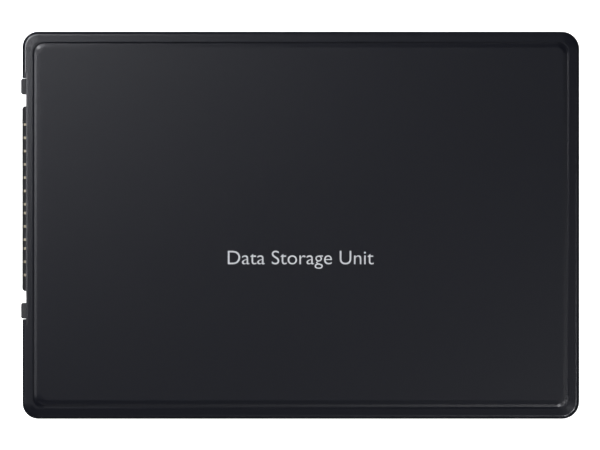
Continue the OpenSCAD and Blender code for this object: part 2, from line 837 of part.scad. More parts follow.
module crystal_base() {
    color("#c9c2ae") on_board(crystal_place) block(crystal_base_size);
}
module crystal_lid() {
    color("#b9bcc0") on_board(crystal_place) translate([0, 0, crystal_base_size[2]])
        block(crystal_lid_size);
}

module leg_row(n, pitch, reach, w, out, h) {
    for (s = [0, 180], i = [0:n - 1])
        rotate([0, 0, s]) translate([reach, (i - (n - 1) / 2) * pitch, 0]) bent_leg(w, out, h);
}

module firmware_chip() {
    color("#26272a") on_board(firmware_place) translate([0, 0, lift]) block(firmware_size);
}
module firmware_chip_legs() {
    color("#b9bcc0") on_board(firmware_place) leg_row(4, 1.27, firmware_size[0] / 2, 0.4, 1.05, 0.75);
}

module temperature_sensor() {
    color("#26272a") on_board(sensor_place) translate([0, 0, lift]) block(sensor_size);
}
module temperature_sensor_legs() {
    color("#b9bcc0") on_board(sensor_place) leg_row(3, 0.95, sensor_size[0] / 2, 0.35, 0.6, 0.6);
}

// ---------------------------------------------------------------- pads and film

// A soft pad that fills the room between a part of the given size and the cover
module top_pad(part) {
    translate([0, 0, part[2]])
        block([part[0] - pad_inset, part[1] - pad_inset, ceiling_z - board_top - part[2]]);
}

module controller_pad() {
    color("#8f9aa6") on_board([controller_x, 0]) top_pad([lid_w, lid_w, controller_h]);
}

module memory_pads() {
    color("#8f9aa6") for (s = [-1, 1])
        on_board([controller_x, s * memory_y]) top_pad([memory_l, memory_w, memory_h]);
}

module flash_pads_top() {
    color("#8f9aa6") for (i = [0, 1])
        on_board([flash_x + i * (flash_w + flash_gap_x), 0])
            top_pad([flash_w, flash_column_l, flash_h]);
}

module flash_pads_bottom() {
    color("#8f9aa6") for (i = [0, 1])
        from_front() translate([flash_x + i * (flash_w + flash_gap_x), 0, floor_t])
            block([flash_w - pad_inset, flash_column_l - pad_inset, under_board - flash_h]);
}

module converter_pad() {
    color("#8f9aa6") on_board(converter_place) top_pad(converter_size);
}

module insulation_film() {
    film_t = 0.12;
    color("#c98f3c") from_front() translate([backup_x[1] - backup_l / 2, 0, floor_t])
        translate([0, -backup_rows * backup_pitch / 2, 0])
            cube([2 * backup_l, backup_rows * backup_pitch, film_t]);
}

base_tray();
top_cover();
case_screws();
board_screws();
bottom_label();
connector_housing();
ground_contacts();
lane_contacts();
signal_contacts();
clock_contacts();
power_contacts();
connector_hold_downs();
circuit_board();
controller_substrate();
controller_lid();
memory_chip_1();
memory_chip_2();
flash_top_1();
flash_top_2();
flash_top_3();
flash_top_4();
flash_bottom_1();
flash_bottom_2();
flash_bottom_3();
flash_bottom_4();
power_controller();
backup_converter();
input_switch();
input_fuse();
input_fuse_ends();
surge_diode();
surge_diode_legs();
power_inductors();
power_inductor_ends();
backup_capacitors();
backup_capacitor_ends();
ceramic_capacitors();
ceramic_capacitor_ends();
chip_resistors();
chip_resistor_ends();
crystal_base();
crystal_lid();
firmware_chip();
firmware_chip_legs();
temperature_sensor();
temperature_sensor_legs();
controller_pad();
memory_pads();
flash_pads_top();
flash_pads_bottom();
converter_pad();
insulation_film();
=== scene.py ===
import json
import math
import random

import bmesh
import bpy
from mathutils import Matrix, Vector


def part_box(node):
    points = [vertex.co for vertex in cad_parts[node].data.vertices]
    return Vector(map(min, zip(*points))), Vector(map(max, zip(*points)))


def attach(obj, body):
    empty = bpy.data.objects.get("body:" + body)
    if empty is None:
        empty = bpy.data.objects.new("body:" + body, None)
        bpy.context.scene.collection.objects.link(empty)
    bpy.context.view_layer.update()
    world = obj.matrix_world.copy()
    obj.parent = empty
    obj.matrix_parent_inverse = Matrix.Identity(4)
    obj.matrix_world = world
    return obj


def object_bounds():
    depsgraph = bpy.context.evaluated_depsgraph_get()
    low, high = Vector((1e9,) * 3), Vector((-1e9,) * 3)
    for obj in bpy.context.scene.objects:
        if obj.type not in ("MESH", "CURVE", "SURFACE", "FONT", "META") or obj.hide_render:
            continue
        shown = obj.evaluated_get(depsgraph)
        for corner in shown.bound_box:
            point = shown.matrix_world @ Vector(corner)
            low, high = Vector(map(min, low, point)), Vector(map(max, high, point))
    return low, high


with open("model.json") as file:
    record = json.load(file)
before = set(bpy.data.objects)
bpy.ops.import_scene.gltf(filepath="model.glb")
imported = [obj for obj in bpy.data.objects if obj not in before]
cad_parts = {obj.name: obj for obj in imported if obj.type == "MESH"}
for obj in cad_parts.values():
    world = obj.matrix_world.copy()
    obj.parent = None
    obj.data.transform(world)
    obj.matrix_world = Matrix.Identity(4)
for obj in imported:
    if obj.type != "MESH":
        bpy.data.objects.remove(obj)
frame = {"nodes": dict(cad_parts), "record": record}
cad_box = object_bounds()
nodes = frame["nodes"]
MM = 0.001

case_low, case_high = cad_box
cover_top = case_high.z
board_low, board_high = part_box("circuit_board")
plug_low, plug_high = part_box("connector_housing")
plug_middle = (plug_low.y + plug_high.y) / 2
# The guide posts stand farther from the connector's middle than this
posts_from = 0.4 * (plug_high.y - plug_low.y)


# ---------------------------------------------------------------- shader maths

class Value:
    """A socket in a material. Expressions on values add the Math nodes that work them out."""

    def __init__(self, surface, socket):
        self.surface = surface
        self.socket = socket

    def maths(self, operation, *others):
        return self.surface.add("ShaderNodeMath", {"operation": operation}, self, *others)

    def __add__(self, other):
        return self.maths("ADD", other)

    __radd__ = __add__

    def __sub__(self, other):
        return self.maths("SUBTRACT", other)

    def __rsub__(self, other):
        return self.surface.add("ShaderNodeMath", {"operation": "SUBTRACT"}, other, self)

    def __mul__(self, other):
        return self.maths("MULTIPLY", other)

    __rmul__ = __mul__

    def __gt__(self, other):
        return self.maths("GREATER_THAN", other)

    def __abs__(self):
        return self.maths("ABSOLUTE")


class Surface:
    """A material with one Principled shader, built up from nodes."""

    # Places of the factor, the two colours and the result on a Mix node set to colours
    MIX_COLOR_INPUTS = (0, 6, 7)
    MIX_COLOR_RESULT = 2

    def __init__(self, name, color, roughness, metallic=0.0, **fixed):
        self.material = bpy.data.materials.new(name)
        self.material.use_nodes = True
        self.tree = self.material.node_tree
        self.shader = self.tree.nodes["Principled BSDF"]
        self.material.diffuse_color = (*color, 1)
        self.shader.inputs["Base Color"].default_value = (*color, 1)
        self.shader.inputs["Roughness"].default_value = roughness
        self.shader.inputs["Metallic"].default_value = metallic
        for key, value in fixed.items():
            self.shader.inputs[key.replace("_", " ")].default_value = value

    def add(self, kind, settings, *values, out=0, **named):
        """Adds a node: its settings first, then its sockets by place or by name. Gives its output."""
        node = self.tree.nodes.new(kind)
        for key, value in settings.items():
            if key == "stops":
                ramp = node.color_ramp.elements
                while len(ramp) < len(value):
                    ramp.new(0.5)
                for stop, (place, color) in zip(ramp, value):
                    stop.position = place
                    stop.color = (*color, 1)
            else:
                setattr(node, key, value)
        sockets = list(zip(node.inputs, values))
        sockets += [(node.inputs[key.replace("_", " ")], value) for key, value in named.items()]
        for socket, value in sockets:
            self.feed(socket, value)
        return Value(self, node.outputs[out])

    def feed(self, socket, value):
        """Links a value to a socket, or sets the socket's own number or colour."""
        if isinstance(value, Value):
            self.tree.links.new(value.socket, socket)
        elif socket.type == "RGBA":
            socket.default_value = (*value, 1)
        else:
            socket.default_value = value

    def place(self):
        """The point being shaded, in metres."""
        return self.add("ShaderNodeTexCoord", {}, out="Object")

    def axis(self, which):
        return self.add("ShaderNodeSeparateXYZ", {}, self.place(), out=which)

    def grain(self, size, detail=2.0, stretch=(1, 1, 1)):
        """Noise whose blotches are about this many metres across."""
        spread = self.add("ShaderNodeVectorMath", {"operation": "MULTIPLY"}, self.place(), stretch)
        return self.add("ShaderNodeTexNoise", {}, Vector=spread, Scale=1 / size, Detail=detail)

    def cells(self, size):
        """Rounded crumbs about this many metres across."""
        return self.add("ShaderNodeTexVoronoi", {"feature": "F1"}, Vector=self.place(), Scale=1 / size)

    def blend(self, share, first, second):
        """A colour between two colours."""
        node = self.tree.nodes.new("ShaderNodeMix")
        node.data_type = "RGBA"
        for socket, value in zip(self.MIX_COLOR_INPUTS, (share, first, second)):
            self.feed(node.inputs[socket], value)
        return Value(self, node.outputs[self.MIX_COLOR_RESULT])

    def shades(self, share, shade, dark, light):
        """A shade that drifts between two multiples of itself."""
        return self.blend(share, tuple(dark * c for c in shade), tuple(light * c for c in shade))

    def color(self, value):
        self.feed(self.shader.inputs["Base Color"], value)

    def roughness(self, share, start, spread):
        """Roughness that goes up from start by spread."""
        self.feed(self.shader.inputs["Roughness"], start + share * spread)

    def relief(self, height, depth):
        """Raises the surface by the height field, a number from 0 to 1, times depth in metres."""
        bump = self.add("ShaderNodeBump", {}, Height=height, Distance=depth, Strength=1.0)
        self.feed(self.shader.inputs["Normal"], bump)


# ---------------------------------------------------------------- finishes

def case_paint(name, shade, side_painted_light, roughness):
    """Fine matt powder coat on aluminium, paler on the upright sides as painted light."""
    s = Surface(name, shade, roughness, Specular_IOR_Level=0.5)
    speckle = s.grain(size=0.12 * MM)
    drift = s.grain(size=22 * MM, detail=1)
    facing = s.add("ShaderNodeNewGeometry", {}, out="Normal")
    facing_up = s.add("ShaderNodeSeparateXYZ", {}, facing, out="Z")
    upright = s.add("ShaderNodeMapRange", {}, abs(facing_up), 0.05, 0.3, 1.0, 0.0)
    tone = speckle * 0.5 + drift * 0.5
    flat = s.shades(tone, shade, dark=0.9, light=1.12)
    # Paler paint on the upright sides is painted light: it brightens the dim sides.
    side = s.shades(tone, side_painted_light, dark=0.85, light=1.15)
    s.color(s.blend(upright, flat, side))
    s.roughness(speckle, start=roughness - 0.02, spread=0.04)
    s.relief(speckle, depth=0.0012 * MM)
    return s.material


def print_ink():
    """Pale grey ink, slightly uneven."""
    s = Surface("print_ink", (0.45, 0.455, 0.46), 0.5, Specular_IOR_Level=0.3)
    worn = s.grain(size=0.25 * MM, detail=3)
    s.color(s.blend(worn, (0.41, 0.415, 0.42), (0.5, 0.505, 0.51)))
    return s.material


def connector_polymer():
    """Glass-filled plastic, one plastic throughout: the tongue between the guide posts is darker as
    painted shade, and the posts paler as painted light.
    """
    s = Surface("connector_polymer", (0.02, 0.02, 0.022), 0.42, Specular_IOR_Level=0.3)
    flow = s.grain(size=0.35 * MM, detail=3, stretch=(0.3, 1, 1))
    # Painted shade on the low tongue, and painted light on the taller guide posts.
    shaded_tongue = s.blend(flow, (0.005, 0.005, 0.006), (0.01, 0.01, 0.011))
    lit_post = s.blend(flow, (0.022, 0.022, 0.023), (0.045, 0.045, 0.047))
    s.color(s.blend(abs(s.axis("Y") - plug_middle) > posts_from, shaded_tongue, lit_post))
    s.roughness(flow, start=0.46, spread=0.14)
    s.relief(flow, depth=0.004 * MM)
    return s.material


def gold_plate(name, thin, thick, roughness):
    """Plating between two tones, rubbed along its length."""
    s = Surface(name, thin, roughness, metallic=1.0)
    rubbed = s.grain(size=0.3 * MM, detail=2, stretch=(0.15, 1, 1))
    s.color(s.blend(rubbed, thin, thick))
    s.roughness(rubbed, start=roughness - 0.06, spread=0.16)
    return s.material


def metal_plate(name, shade, roughness, size=0.2 * MM):
    """Plated or bare metal, faintly mottled."""
    s = Surface(name, shade, roughness, metallic=1.0)
    mottle = s.grain(size, detail=3)
    s.color(s.shades(mottle, shade, dark=0.86, light=1.1))
    s.roughness(mottle, start=roughness - 0.07, spread=0.16)
    s.relief(mottle, depth=0.002 * MM)
    return s.material


def moulded_resin(name, shade, roughness=0.5):
    """Resin, ceramic or glaze with a fine filler and broad drifts of tone."""
    s = Surface(name, shade, roughness)
    filler = s.grain(size=0.06 * MM, detail=2)
    patch = s.grain(size=3 * MM, detail=2)
    s.color(s.shades(filler * 0.6 + patch * 0.4, shade, dark=0.8, light=1.25))
    s.roughness(filler, start=roughness - 0.05, spread=0.12)
    s.relief(filler, depth=0.004 * MM)
    return s.material


def solder_mask(name, shade):
    """Green coating over woven glass laminate."""
    s = Surface(name, shade, 0.32, Coat_Roughness=0.18)
    warp, weft = [s.add("ShaderNodeTexWave", {"wave_type": "BANDS", "bands_direction": way},
                        Vector=s.place(), Scale=2 / MM, Distortion=0.4) for way in "XY"]
    weave = warp * weft
    tone = s.grain(size=4 * MM, detail=2)
    s.color(s.shades(weave * 0.5 + tone * 0.5, shade, dark=0.8, light=1.25))
    s.feed(s.shader.inputs["Coat Weight"], 0.35 + tone * 0.2)
    s.relief(weave, depth=0.003 * MM)
    return s.material


def label_paper():
    """Matt coated paper with a faint fibre."""
    s = Surface("label_paper", (0.46, 0.46, 0.455), 0.45)
    fibre = s.grain(size=0.3 * MM, detail=4)
    s.color(s.blend(fibre, (0.42, 0.42, 0.415), (0.5, 0.5, 0.495)))
    s.roughness(fibre, start=0.4, spread=0.12)
    s.relief(fibre, depth=0.004 * MM)
    return s.material


def silicone_pad():
    """Soft thermal pad, crumbly on its surface."""
    s = Surface("silicone_pad", (0.3, 0.37, 0.44), 0.75)
    crumb = s.cells(size=0.25 * MM)
    s.color(s.blend(crumb, (0.26, 0.33, 0.4), (0.36, 0.43, 0.5)))
    s.roughness(crumb, start=0.68, spread=0.2)
    s.relief(crumb, depth=0.02 * MM)
    return s.material


def amber_film():
    """Thin insulating film with slow ripples."""
    s = Surface("amber_film", (0.5, 0.22, 0.03), 0.25)
    ripple = s.grain(size=2.5 * MM, detail=2)
    s.color(s.blend(ripple, (0.44, 0.18, 0.025), (0.58, 0.28, 0.045)))
    s.relief(ripple, depth=0.02 * MM)
    return s.material


def white_plaster():
    """Glowing white from above, and clear from below."""
    s = Surface("studio_floor", (0.9, 0.9, 0.9), 0.9)
    s.shader.inputs["Emission Color"].default_value = (1, 1, 1, 1)
    s.shader.inputs["Emission Strength"].default_value = 1.0
    from_below = s.add("ShaderNodeNewGeometry", {}, out="Backfacing")
    clear = s.add("ShaderNodeBsdfTransparent", {})
    seen = s.add("ShaderNodeMixShader", {}, from_below, Value(s, s.shader.outputs["BSDF"]), clear)
    s.feed(s.tree.nodes["Material Output"].inputs["Surface"], seen)
    return s.material


# Paler paint for the upright sides of the case: painted light.
SIDE_PAINTED_LIGHT = (0.023, 0.024, 0.028)

# The finish of each material slot
FINISHES = {
    "tray_paint": case_paint("tray_paint_fine", (0.01, 0.0105, 0.014), SIDE_PAINTED_LIGHT, 0.28),
    "cover_paint": case_paint("cover_paint_fine", (0.004, 0.0045, 0.0072), SIDE_PAINTED_LIGHT, 0.26),
    "dark_screw_steel": metal_plate("dark_screw_plate", (0.09, 0.09, 0.095), 0.42),
    "bright_screw_steel": metal_plate("bright_screw_plate", (0.62, 0.62, 0.6), 0.3),
    "label_film": label_paper(),
    "connector_plastic": connector_polymer(),
    "gilt_contact": gold_plate("contact_gilding", (0.42, 0.37, 0.26), (0.52, 0.47, 0.35), 0.4),
    "tinned_metal": metal_plate("tin_plate", (0.66, 0.66, 0.64), 0.34, 0.1 * MM),
    "board_laminate": solder_mask("solder_mask", (0.011, 0.08, 0.042)),
    "lid_nickel": metal_plate("nickel_lid", (0.56, 0.55, 0.53), 0.36, 0.4 * MM),
    "package_resin": moulded_resin("package_resin_black", (0.022, 0.022, 0.024)),
    "ferrite": moulded_resin("pressed_ferrite", (0.09, 0.09, 0.095), 0.62),
    "capacitor_resin": moulded_resin("amber_resin", (0.55, 0.29, 0.05), 0.4),
    "capacitor_ceramic": moulded_resin("fired_ceramic", (0.36, 0.24, 0.15), 0.5),
    "resistor_glaze": moulded_resin("black_glaze", (0.012, 0.012, 0.014), 0.28),
    "white_ceramic": moulded_resin("white_ceramic_body", (0.66, 0.63, 0.55), 0.5),
    "thermal_silicone": silicone_pad(),
    "amber_film": amber_film(),
}


def dress_cad_nodes():
    """Gives each node the finish of its slot."""
    slots = {part["node"]: part["material_slot"] for part in frame["record"]["subparts"]}
    for name, piece in nodes.items():
        finish = FINISHES[slots[name]]
        for slot in piece.material_slots:
            slot.material = finish


def soften(name, width, segments=2, angle=35):
    """Rounds a node's sharp edges a little."""
    bevel = nodes[name].modifiers.new("soft_edges", "BEVEL")
    bevel.width = width
    bevel.segments = segments
    bevel.limit_method = "ANGLE"
    bevel.angle_limit = math.radians(angle)


# ---------------------------------------------------------------- shaping tools

SAME_PLACE = 1e-7
# Keeps a strip from spreading too far at a sharp bend
LEAST_MITRE = 0.5
TRACK, WIDE_TRACK = 0.13 * MM, 0.6 * MM


def into_scene(name, data):
    """A new object for a mesh, lamp or camera."""
    thing = bpy.data.objects.new(name, data)
    bpy.context.scene.collection.objects.link(thing)
    return thing


def circle(middle, radius, sides):
    """Points round a circle, anticlockwise from the +X side."""
    turn = math.tau / sides
    return [(middle[0] + radius * math.cos(i * turn), middle[1] + radius * math.sin(i * turn))
            for i in range(sides)]


def middle_of(box):
    return (box[0] + box[1]) / 2


def toward(distance):
    """One way or the other along an axis."""
    return math.copysign(1, distance)


def solids_of(name):
    """The box of each separate solid in a node, as (low, high)."""
    mesh = bmesh.new()
    mesh.from_mesh(nodes[name].data)
    bmesh.ops.remove_doubles(mesh, verts=mesh.verts, dist=SAME_PLACE)
    left = set(mesh.verts)
    boxes = []
    while left:
        seed = left.pop()
        group = [seed]
        stack = [seed]
        while stack:
            for edge in stack.pop().link_edges:
                for vert in edge.verts:
                    if vert in left:
                        left.discard(vert)
                        group.append(vert)
                        stack.append(vert)
        low = Vector([min(v.co[i] for v in group) for i in range(3)])
        high = Vector([max(v.co[i] for v in group) for i in range(3)])
        boxes.append((low, high))
    mesh.free()
    boxes.sort(key=lambda box: tuple(round(c, 6) for c in box[0]))
    return boxes


class Shape:
    """Collects vertices and faces for one piece."""

    def __init__(self):
        self.points = []
        self.faces = []

    def add(self, points, faces):
        start = len(self.points)
        self.points += [tuple(p) for p in points]
        self.faces += [tuple(start + i for i in face) for face in faces]

    def prism(self, outline, low, high):
        """A flat outline, given anticlockwise, raised from low to high."""
        n = len(outline)
        points = [(x, y, z) for z in (low, high) for x, y in outline]
        sides = [(i, (i + 1) % n, n + (i + 1) % n, n + i) for i in range(n)]
        self.add(points, [tuple(reversed(range(n))), tuple(range(n, 2 * n))] + sides)

    def slab(self, low, high):
        x0, y0, x1, y1 = low[0], low[1], high[0], high[1]
        self.prism([(x0, y0), (x1, y0), (x1, y1), (x0, y1)], low[2], high[2])

    def disc(self, middle, radius, low, high, sides=20):
        self.prism(circle(middle, radius, sides), low, high)

    def ring(self, middle, inner, outer, low, high, sides=20):
        """A flat washer."""
        points = []
        for radius, z in ((inner, low), (outer, low), (outer, high), (inner, high)):
            points += [(x, y, z) for x, y in circle(middle, radius, sides)]
        faces = []
        for band in range(4):
            after = (band + 1) % 4
            for i in range(sides):
                j = (i + 1) % sides
                faces.append((band * sides + i, band * sides + j, after * sides + j, after * sides + i))
        self.add(points, faces)

    def border(self, low, high, width, bottom, top):
        """A rectangular line round an area."""
        x0, y0, x1, y1 = low[0], low[1], high[0], high[1]
        near, far = y0 + width, y1 - width
        for start, end in (((x0, y0), (x1, near)), ((x0, far), (x1, y1)),
                           ((x0, near), (x0 + width, far)), ((x1 - width, near), (x1, far))):
            self.slab((*start, bottom), (*end, top))

    def track(self, path, width, low, high):
        """A flat strip along a path of points, mitred at its bends."""
        left, right = [], []
        for i, point in enumerate(path):
            here = Vector(point)
            before = Vector(path[i - 1]) if i else None
            after = Vector(path[i + 1]) if i + 1 < len(path) else None
            heading = Vector((0, 0))
            if before is not None:
                heading += (here - before).normalized()
            if after is not None:
                heading += (after - here).normalized()
            heading.normalize()
            side = Vector((-heading.y, heading.x))
            reach = width / 2
            if before is not None and after is not None:
                reach /= max(LEAST_MITRE, heading.dot((after - here).normalized()))
            left.append(here + side * reach)
            right.append(here - side * reach)
        for i in range(len(path) - 1):
            self.prism([right[i], right[i + 1], left[i + 1], left[i]], low, high)

    def wedge(self, place, out, along, height, foot):
        """A solder fillet: a slope that leans on an upright face, running along it."""
        place, out, along = Vector(place), Vector(out), Vector(along)
        rise = Vector((0, 0, height))
        # the hollow of the slope sags towards the corner
        hollow = out * foot * 0.35 + rise * 0.3
        ends = []
        for end in (-0.5, 0.5):
            corner = place + along * end
            ends += [corner, corner + out * foot, corner + hollow, corner + rise]
        self.add(ends, [(0, 3, 2, 1), (4, 5, 6, 7), (0, 1, 5, 4), (1, 2, 6, 5), (2, 3, 7, 6),
                        (3, 0, 4, 7)])

    def dome(self, middle, radii, sides=10, levels=3):
        """The upper half of a rounded blob standing on its middle."""
        points, faces = [], []
        for level in range(levels):
            lift = math.pi / 2 * level / levels
            for i in range(sides):
                turn = math.tau * i / sides
                points.append((middle[0] + radii[0] * math.cos(lift) * math.cos(turn),
                               middle[1] + radii[1] * math.cos(lift) * math.sin(turn),
                               middle[2] + radii[2] * math.sin(lift)))
        points.append((middle[0], middle[1], middle[2] + radii[2]))
        for level in range(levels - 1):
            for i in range(sides):
                a, b = level * sides + i, level * sides + (i + 1) % sides
                faces.append((a, b, b + sides, a + sides))
        last = (levels - 1) * sides
        faces += [(last + i, last + (i + 1) % sides, levels * sides) for i in range(sides)]
        faces.append(tuple(reversed(range(sides))))
        self.add(points, faces)

    def thread(self, start, axis, radius, depth, pitch, height, sides=20):
        """A helical ridge on the wall of a hole that runs from start along axis."""
        axis = Vector(axis)
        across = axis.orthogonal().normalized()
        other = axis.cross(across)
        count = int(depth / pitch * sides)
        half_foot = axis * pitch * 0.36
        points, faces = [], []
        for i in range(count + 1):
            turn = math.tau * i / sides
            middle = Vector(start) + axis * (pitch * i / sides)
            spoke = across * math.cos(turn) + other * math.sin(turn)
            points += [middle + spoke * radius - half_foot,
                       middle + spoke * (radius - height),
                       middle + spoke * radius + half_foot]
        for i in range(count):
            a, b = 3 * i, 3 * i + 3
            faces += [(a, a + 1, b + 1, b), (a + 1, a + 2, b + 2, b + 1)]
        self.add(points, faces)

    def piece(self, name, finish, body, slot, smooth=None):
        """Makes the piece. Edges that turn by less than smooth, in degrees, are shaded smooth."""
        mesh = bpy.data.meshes.new(name)
        mesh.from_pydata(self.points, [], self.faces)
        mesh.validate()
        mesh.materials.append(finish)
        if smooth:
            mesh.shade_smooth()
            mesh.set_sharp_from_angle(angle=math.radians(smooth))
        piece = into_scene(name, mesh)
        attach(piece, body)


# ---------------------------------------------------------------- places

mounts = {mount["name"]: mount for mount in frame["record"]["mounts"]}
lower_holes = mounts["bottom_screw_holes"]
hole_layout = lower_holes["dims"]
MOUNT_X = [lower_holes["pos_m"][0] + way * hole_layout["spacing_x_mm"] * MM / 2 for way in (-1, 1)]
MOUNT_ROW = hole_layout["spacing_y_mm"] * MM / 2
SIDE_HOLE_Z = mounts["side_screw_holes_left"]["pos_m"][2]
HOLE_R = hole_layout["hole_r_mm"] * MM

# The board is narrower at its ends than between them, where its two long edges reach out
board_outline = [vert.co for vert in nodes["circuit_board"].data.vertices]
WAIST_HALF = max(p.y for p in board_outline if p.x < board_low.x + 3 * MM)
WAIST = [end(p.x for p in board_outline if p.y > WAIST_HALF + 1 * MM) for end in (min, max)]
BOARD_SCREWS = [tuple(middle_of(box).xy) for box in solids_of("board_screws")]

# The row of small capacitors in the fast lanes, next to the connector
capacitors = [middle_of(box) for box in solids_of("ceramic_capacitors")]
LANE_X = min(p.x for p in capacitors)
LANE_Y = sorted(p.y for p in capacitors if p.x < LANE_X + 0.1 * MM)

FLASH_NEAR = ("flash_top_1", "flash_top_2")
FLASH_FAR = ("flash_top_3", "flash_top_4")
TOP_PACKAGES = ("controller_substrate", "memory_chip_1", "memory_chip_2", *FLASH_NEAR, *FLASH_FAR,
                "power_controller", "backup_converter", "input_switch", "firmware_chip",
                "temperature_sensor")
OUTLINED = (*TOP_PACKAGES, "power_inductors", "crystal_base", "input_fuse", "surge_diode")
BOARD_PARTS = (*TOP_PACKAGES, "power_inductor_ends", "backup_capacitor_ends", "ceramic_capacitor_ends",
               "chip_resistor_ends", "crystal_base", "input_fuse_ends", "surge_diode_legs",
               "firmware_chip_legs", "temperature_sensor_legs", "connector_hold_downs", "board_screws",
               "ground_contacts", "lane_contacts")

GOLD = gold_plate("pad_gold", (0.8, 0.56, 0.22), (0.93, 0.72, 0.36), 0.24)
SOLDER = metal_plate("solder_metal", (0.6, 0.6, 0.585), 0.27, 0.08 * MM)
BARE_ALUMINIUM = metal_plate("bare_aluminium", (0.5, 0.5, 0.51), 0.35)
TRACE = solder_mask("covered_copper", (0.03, 0.13, 0.065))
HOLE_PAINTED_SHADE = moulded_resin("hole_dark", (0.012, 0.02, 0.014))
PRINT_WHITE = moulded_resin("board_ink", (0.42, 0.43, 0.41), 0.6)
DOT_GREY = moulded_resin("dot_grey", (0.075, 0.075, 0.078), 0.6)
BAND_BROWN = moulded_resin("band_brown", (0.13, 0.05, 0.015), 0.4)
BARE_LAMINATE = moulded_resin("bare_laminate", (0.18, 0.15, 0.08), 0.6)


# ---------------------------------------------------------------- pieces

def cover_lettering():
    """The printed line on the cover, in plain words."""
    line_width = 26.3 * MM
    line_y = -7.05 * MM
    ink = 0.002 * MM
    words = bpy.data.curves.new("cover_words", "FONT")
    words.body = "Data Storage Unit"
    words.align_x = "CENTER"
    words.size = 3.6 * MM
    words.offset = -0.022 * MM
    words.extrude = ink
    words.resolution_u = 5
    holder = bpy.data.objects.new("cover_words", words)
    mesh = bpy.data.meshes.new_from_object(holder)
    bpy.data.objects.remove(holder)
    mesh.materials.clear()
    mesh.materials.append(print_ink())
    span = [min(v.co.x for v in mesh.vertices), max(v.co.x for v in mesh.vertices)]
    mesh.transform(Matrix.Diagonal((line_width / (span[1] - span[0]), 1, 1, 1)))
    mesh.transform(Matrix.Translation((0, line_y, cover_top + ink)))
    piece = into_scene("cover_lettering", mesh)
    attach(piece, "cover")


def label_print():
    """Frame, dividing rules and plain blocks on the blank rating label."""
    low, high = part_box("bottom_label")
    ink, margin = 0.006 * MM, 1.6 * MM
    rule_in, rule_w = 2 * MM, 0.18 * MM
    block_w, block_pitch = 7 * MM, 11 * MM
    under = low.z - ink
    left, right = low.x + margin, high.x - margin
    near, far = low.y + margin, high.y - margin
    shape = Shape()
    shape.border((left, near), (right, far), 0.3 * MM, under, low.z)
    for share in (0.28, 0.52, 0.76):
        y = near + share * (far - near)
        shape.slab((left + rule_in, y, under), (right - rule_in, y + rule_w, low.z))
    for i in range(3):
        x = left + 4 * MM + i * block_pitch
        shape.slab((x, far - 8 * MM, under), (x + block_w, far - 3 * MM, low.z))
    shape.piece("label_print", FINISHES["package_resin"], "drive", "label_film")


def hole_threads():
    """Screw threads in the mounting holes, which run up and inward from the case."""
    lead_in, pitch, ridge = 0.45 * MM, 0.5 * MM, 0.16 * MM
    lower_depth, side_depth = 2.3 * MM, 1.8 * MM
    shape = Shape()
    for x in MOUNT_X:
        for side in (-1, 1):
            shape.thread((x, side * MOUNT_ROW, lead_in), (0, 0, 1), HOLE_R, lower_depth, pitch, ridge)
            shape.thread((x, side * (case_high.y - lead_in), SIDE_HOLE_Z), (0, -side, 0), HOLE_R,
                         side_depth, pitch, ridge)
    shape.piece("hole_threads", BARE_ALUMINIUM, "drive", "bright_screw_steel", smooth=50)


def chip_marks():
    """A moulded dot at the first corner of each package."""
    shape = Shape()
    for name in TOP_PACKAGES:
        low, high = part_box(name)
        size = min(high.x - low.x, high.y - low.y)
        radius = min(0.5 * MM, 0.07 * size)
        inset = 0.14 * size
        shape.ring((low.x + inset, high.y - inset), radius * 0.72, radius, high.z, high.z + 0.012 * MM)
    shape.piece("chip_marks", DOT_GREY, "drive", "package_resin")


def lid_step():
    """The controller lid's raised middle."""
    low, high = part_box("controller_lid")
    inset, rise = 1.1 * MM, 0.02 * MM
    shape = Shape()
    shape.slab((low.x + inset, low.y + inset, high.z), (high.x - inset, high.y - inset, high.z + rise))
    shape.piece("lid_step", FINISHES["lid_nickel"], "drive", "lid_nickel")


def end_fillets(shape):
    """Solder up the metal ends of chip parts. Tall is its height as a share of the end's own."""
    for ends, tall in (("ceramic_capacitor_ends", 0.5), ("chip_resistor_ends", 0.7),
                       ("input_fuse_ends", 0.6), ("power_inductor_ends", 0.8),
                       ("backup_capacitor_ends", 0.7)):
        boxes = [box for box in solids_of(ends) if box[0].z > board_low.z]
        for box in boxes:
            low, high = box
            middle = middle_of(box)
            others = [middle_of(other) for other in boxes if other[0] != low]
            away = middle - min(others, key=lambda other: (other - middle).length)
            if abs(away.x) > abs(away.y):
                out = Vector((toward(away.x), 0, 0))
            else:
                out = Vector((0, toward(away.y), 0))
            size = high - low
            half, width = (size.x / 2, size.y) if out.x else (size.y / 2, size.x)
            place = (middle.x + out.x * half, middle.y + out.y * half, board_high.z)
            along = Vector((-out.y, out.x, 0)) * width * 0.94
            shape.wedge(place, out, along, min(0.45 * MM, tall * size.z), foot=0.28 * MM)


def leg_fillets(shape):
    """Solder at the tips of the bent legs."""
    for legs in ("firmware_chip_legs", "temperature_sensor_legs", "surge_diode_legs"):
        centre = middle_of(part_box(legs))
        for box in solids_of(legs):
            low, high = box
            middle = middle_of(box)
            if legs == "surge_diode_legs" or high.x - low.x > high.y - low.y:
                out, width = Vector((toward(middle.x - centre.x), 0, 0)), high.y - low.y
                place = (high.x if out.x > 0 else low.x, middle.y, board_high.z)
            else:
                out, width = Vector((0, toward(middle.y - centre.y), 0)), high.x - low.x
                place = (middle.x, high.y if out.y > 0 else low.y, board_high.z)
            shape.wedge(place, out, Vector((-out.y, out.x, 0)) * width, 0.12 * MM, foot=0.22 * MM)


def solder_fillets():
    """Solder that climbs the ends of every soldered part on the board's upper side."""
    shape = Shape()
    end_fillets(shape)
    leg_fillets(shape)
    shape.piece("solder_fillets", SOLDER, "drive", "tinned_metal", smooth=30)


